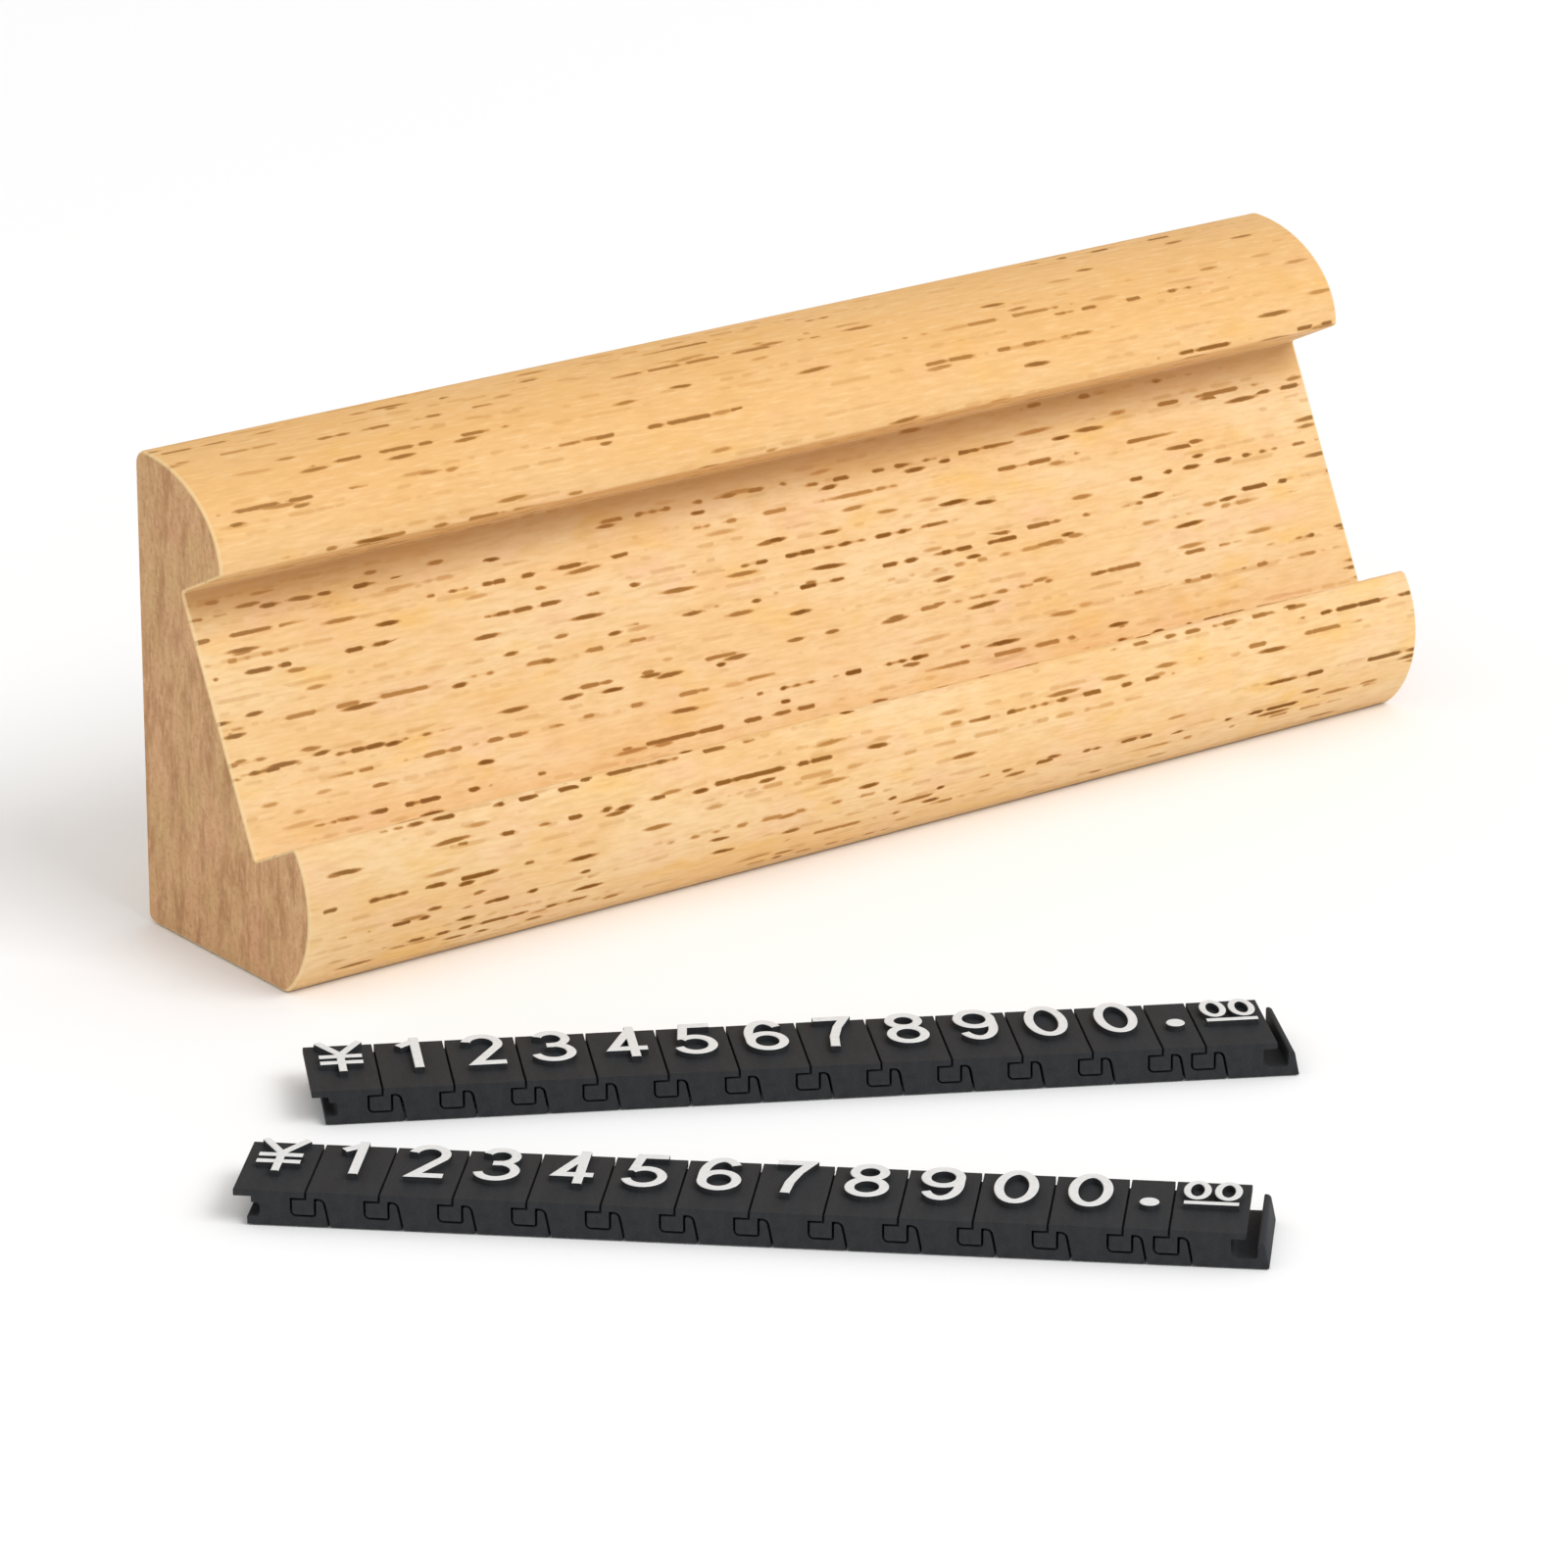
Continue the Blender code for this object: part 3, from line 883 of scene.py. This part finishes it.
def side_grain(graph, grain, crown):
    """Colour and relief of the block's long faces. The crown's share is a darker, warmer tone that is
    painted shade.
    """
    ragged = ragged_edges(graph, grain)
    rows = row_layer(graph, ragged, **FLECK_ROWS)
    medium = fleck_layer(graph, ragged, **MEDIUM_FLECKS)
    short = fleck_layer(graph, ragged, **SHORT_FLECKS)
    faint = row_layer(graph, ragged, **FAINT_ROWS)
    streak = graph.noise(graph.stretch(grain, STREAK_RATE), 1.0, 3.0, 0.6)
    mottle = graph.noise(graph.stretch(grain, MOTTLE_RATE, shift=(2.0, 8.0, 0.0)), 1.0)
    cloud = graph.noise(graph.stretch(grain, CLOUD_RATE), 1.0, 3.0, 0.55)
    warm = graph.noise(graph.stretch(grain, WARM_RATE, shift=(5.0, 2.0, 0.0)), 1.0, 2.0)
    pink = graph.noise(graph.stretch(grain, PINK_RATE, shift=(9.0, 6.0, 0.0)), 1.0, 2.0)

    tone = graph.mix(graph.remap(cloud, 0.35, 0.65), SIDE["ground"], SIDE["pale ground"])
    tone = graph.mix(graph.remap(warm, 0.55, 0.72, 0.0, 0.65), tone, SIDE["warm"])
    tone = graph.mix(graph.remap(pink, 0.54, 0.72, 0.0, 0.6), tone, SIDE["pink"])
    # Painted shade: the crown darker and warmer.
    tone = graph.mix(crown, tone, SIDE["crown"])
    tone = graph.mix(graph.remap(mottle, 0.45, 0.7, 0.0, 0.35), tone, SIDE["mottle"])
    tone = graph.mix(graph.remap(streak, 0.5, 0.72, 0.0, 0.35), tone, SIDE["dark streak"])
    tone = graph.mix(graph.remap(streak, 0.48, 0.3, 0.0, 0.3), tone, SIDE["pale streak"])
    tone = graph.mix(graph.math("MULTIPLY", faint, 0.4), tone, SIDE["faint row"])
    dark = graph.math("MAXIMUM", rows, graph.math("MAXIMUM", medium, short))
    depth = graph.remap(crown, 0.0, 1.0, 0.97, 0.7)
    mark = graph.math("MULTIPLY", dark, depth)
    colour = graph.mix(graph.remap(mark, 0.0, 0.5, 0.0, 0.9), tone, SIDE["fleck edge"])
    colour = graph.mix(graph.remap(mark, 0.35, 1.0), colour, SIDE["fleck"])

    pits = graph.math("ADD", dark, graph.math("MULTIPLY", faint, 0.4))
    relief = graph.math("SUBTRACT", graph.math("MULTIPLY", streak, 0.2), pits)
    return colour, relief, streak


def end_grain(graph, where):
    """Colour and relief of the block's two ends: growth rings, rays and pores."""
    split = graph.add("ShaderNodeSeparateXYZ", {0: where}).outputs
    section = graph.add("ShaderNodeCombineXYZ", {0: split["Y"], 1: split["Z"]}).outputs[0]
    wander = graph.noise(section, WANDER_RATE, 2.0)
    rings = graph.noise(graph.stretch(section, RING_RATE, turn=RING_TURN), 1.0, 3.0, 0.6)
    rays = graph.noise(graph.stretch(section, RAY_RATE, turn=RAY_TURN), 1.0, 3.0, 0.6)
    bloom = graph.noise(graph.stretch(section, BLOOM_RATE, shift=(4.0, 1.0, 0.0)), 1.0, 2.0)
    pores = graph.noise(section, PORE_RATE, 3.0, 0.65)
    tone = graph.mix(graph.remap(bloom, 0.4, 0.65), END["ground"], END["yellow ground"])
    tone = graph.mix(graph.remap(wander, 0.5, 0.68, 0.0, 0.55), tone, END["wander"])
    tone = graph.mix(graph.remap(rings, 0.45, 0.62, 0.0, 0.75), tone, END["ring"])
    tone = graph.mix(graph.remap(rays, 0.48, 0.7, 0.0, 0.55), tone, END["ray"])
    colour = graph.mix(graph.remap(pores, 0.5, 0.7, 0.0, 0.4), tone, END["pore"])
    relief = graph.math("SUBTRACT", graph.math("MULTIPLY", rays, 0.5), pores)
    return colour, relief


def painted_lip_shadow(graph, where, normal):
    """Share of the painted shadow in the channel's upper corner: a darker band under the upper lip
    that deepens the lip's shadow.
    """
    height = graph.add("ShaderNodeSeparateXYZ", {0: where}).outputs["Z"]
    band = graph.remap(height, *LIP_SHADOW_HEIGHTS, 0.0, 0.6, smooth=True)
    below = graph.remap(height, *LIP_SHADOW_END, 1.0, 0.0)
    front = graph.remap(graph.math("MULTIPLY", normal["Y"], -1.0), 0.87, 0.89)
    floor = graph.remap(graph.math("ABSOLUTE", normal["Z"]), 0.46, 0.45, 0.0, 1.0)
    inside = graph.math("MULTIPLY", graph.math("MULTIPLY", below, front), floor)
    return graph.math("MULTIPLY", band, inside)


def beech_material():
    graph = Graph("sanded_beech")
    source = graph.add("ShaderNodeTexCoord").outputs
    where = source["Object"]
    normal = graph.add("ShaderNodeSeparateXYZ", {0: source["Normal"]}).outputs
    height = graph.add("ShaderNodeSeparateXYZ", {0: where}).outputs["Z"]
    # Share of the crown's painted shade, growing with height.
    crown = graph.remap(height, *CROWN_SHADE_HEIGHTS, 0.0, 0.7)
    side, side_relief, fibre = side_grain(graph, grain_place(graph, where, normal), crown)
    end, end_relief = end_grain(graph, where)
    lean = graph.math("ABSOLUTE", normal["X"])
    is_end = graph.remap(lean, 0.82, 0.97)
    # Painted highlight: a paler line where the eased edges round the ends catch the light.
    rim_highlight = graph.remap(lean, 0.1, 0.4, 0.0, 0.6)
    # Painted shadow: a darker band in the channel's upper corner, under the upper lip.
    side = graph.mix(painted_lip_shadow(graph, where, normal), side, SIDE["corner"])
    side = graph.mix(rim_highlight, side, SIDE["rim"])
    graph.set(graph.shader, "Base Color", graph.mix(is_end, side, end))
    relief = graph.blend(is_end, side_relief, end_relief)
    bump = graph.add(
        "ShaderNodeBump", {"Strength": 0.5, "Distance": BEECH_RELIEF, "Height": relief}
    )
    graph.set(graph.shader, "Normal", bump.outputs[0])
    gloss = graph.remap(fibre, 0.3, 0.7, 0.5, 0.62)
    graph.set(graph.shader, "Roughness", graph.blend(is_end, gloss, 0.75))
    graph.set(graph.shader, "Specular IOR Level", 0.1)
    return graph.material


def black_plastic_material():
    graph = Graph("moulded_black_plastic")
    where = graph.add("ShaderNodeTexCoord").outputs["Object"]
    flow = graph.noise(graph.stretch(where, PLASTIC_FLOW_RATE), 1.0, 3.0)
    spark = graph.noise(where, FINE_RATE, 2.0, 0.6)
    tone = graph.mix(graph.remap(flow, 0.35, 0.65), PLASTIC["ground"], PLASTIC["flow"])
    tone = graph.mix(graph.remap(spark, 0.5, 0.75, 0.0, 0.5), tone, PLASTIC["spark"])
    graph.set(graph.shader, "Base Color", tone)
    graph.set(graph.shader, "Roughness", graph.remap(flow, 0.3, 0.7, 0.7, 0.82))
    height = graph.math("ADD", graph.math("MULTIPLY", flow, 0.5), spark)
    bump = graph.add(
        "ShaderNodeBump", {"Strength": 0.4, "Distance": MOULDED_RELIEF, "Height": height}
    )
    graph.set(graph.shader, "Normal", bump.outputs[0])
    graph.set(graph.shader, "Specular IOR Level", 0.2)
    return graph.material


def white_stamp_material():
    graph = Graph("white_stamped_top")
    where = graph.add("ShaderNodeTexCoord").outputs["Object"]
    wear = graph.noise(where, STAMP_WEAR_RATE, 3.0, 0.6)
    grit = graph.noise(where, FINE_RATE, 2.0, 0.6)
    tone = graph.mix(graph.remap(wear, 0.3, 0.75), STAMP["ground"], STAMP["worn"])
    tone = graph.mix(graph.remap(grit, 0.6, 0.8, 0.0, 0.4), tone, STAMP["grit"])
    graph.set(graph.shader, "Base Color", tone)
    graph.set(graph.shader, "Roughness", graph.remap(wear, 0.3, 0.7, 0.45, 0.6))
    bump = graph.add(
        "ShaderNodeBump", {"Strength": 0.3, "Distance": MOULDED_RELIEF, "Height": wear}
    )
    graph.set(graph.shader, "Normal", bump.outputs[0])
    graph.set(graph.shader, "Specular IOR Level", 0.3)
    return graph.material


def floor_material():
    graph = Graph("pale_floor")
    where = graph.add("ShaderNodeTexCoord").outputs["Object"]
    cloud = graph.noise(where, FLOOR_CLOUD_RATE, 2.0)
    graph.set(graph.shader, "Base Color", graph.mix(cloud, *FLOOR_TONES))
    graph.set(graph.shader, "Roughness", 0.9)
    graph.set(graph.shader, "Specular IOR Level", 0.1)
    return graph.material


# ---------------------------------------------------------------- studio


def back_vector(azimuth, elevation):
    """From the aim towards the viewer. Azimuth 0 looks along +Y."""
    return Vector(
        (
            math.sin(azimuth) * math.cos(elevation),
            -math.cos(azimuth) * math.cos(elevation),
            math.sin(elevation),
        )
    )


def make_camera():
    data = bpy.data.cameras.new("camera")
    data.sensor_width = CAMERA_SENSOR
    data.lens = CAMERA_LENS
    data.clip_start, data.clip_end = CAMERA_CLIP
    camera = bpy.data.objects.new("camera", data)
    bpy.context.collection.objects.link(camera)
    camera.location = CAMERA_AIM + back_vector(CAMERA_AZIMUTH, CAMERA_ELEVATION) * CAMERA_DISTANCE
    camera.rotation_euler = Euler((math.radians(90) - CAMERA_ELEVATION, 0.0, CAMERA_AZIMUTH))
    bpy.context.scene.camera = camera


def make_floor():
    shape = bmesh.new()
    bmesh.ops.create_grid(shape, x_segments=2, y_segments=2, size=FLOOR_REACH)
    floor = add_object("floor", to_mesh(shape, "floor"), [floor_material()])
    floor.location.z = -FLOOR_DROP


def soft_light(name, azimuth, elevation, distance, size, power):
    data = bpy.data.lights.new(name, "AREA")
    data.shape = "RECTANGLE"
    data.size = size[0]
    data.size_y = size[1]
    data.energy = power
    light = bpy.data.objects.new(name, data)
    bpy.context.collection.objects.link(light)
    back = back_vector(math.radians(azimuth), math.radians(elevation))
    light.location = CAMERA_AIM + back * distance
    light.rotation_euler = back.to_track_quat("Z", "Y").to_euler()


def make_studio():
    world = bpy.data.worlds.new("studio")
    world.use_nodes = True
    background = world.node_tree.nodes["Background"]
    background.inputs["Color"].default_value = (1.0, 1.0, 1.0, 1.0)
    background.inputs["Strength"].default_value = WORLD_STRENGTH
    bpy.context.scene.world = world
    bpy.context.scene.view_settings.view_transform = "Standard"
    for name, settings in LIGHTS.items():
        soft_light(name, *settings)


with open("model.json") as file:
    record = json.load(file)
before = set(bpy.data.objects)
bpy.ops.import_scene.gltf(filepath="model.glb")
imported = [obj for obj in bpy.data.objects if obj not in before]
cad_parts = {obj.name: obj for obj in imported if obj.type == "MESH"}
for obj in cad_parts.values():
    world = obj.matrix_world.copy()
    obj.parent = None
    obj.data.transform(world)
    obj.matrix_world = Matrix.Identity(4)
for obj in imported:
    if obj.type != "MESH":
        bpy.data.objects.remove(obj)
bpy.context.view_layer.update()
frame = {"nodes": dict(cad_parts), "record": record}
make_camera()
make_studio()
make_floor()
make_block(frame["record"], beech_material())
make_tiles([black_plastic_material(), white_stamp_material()])
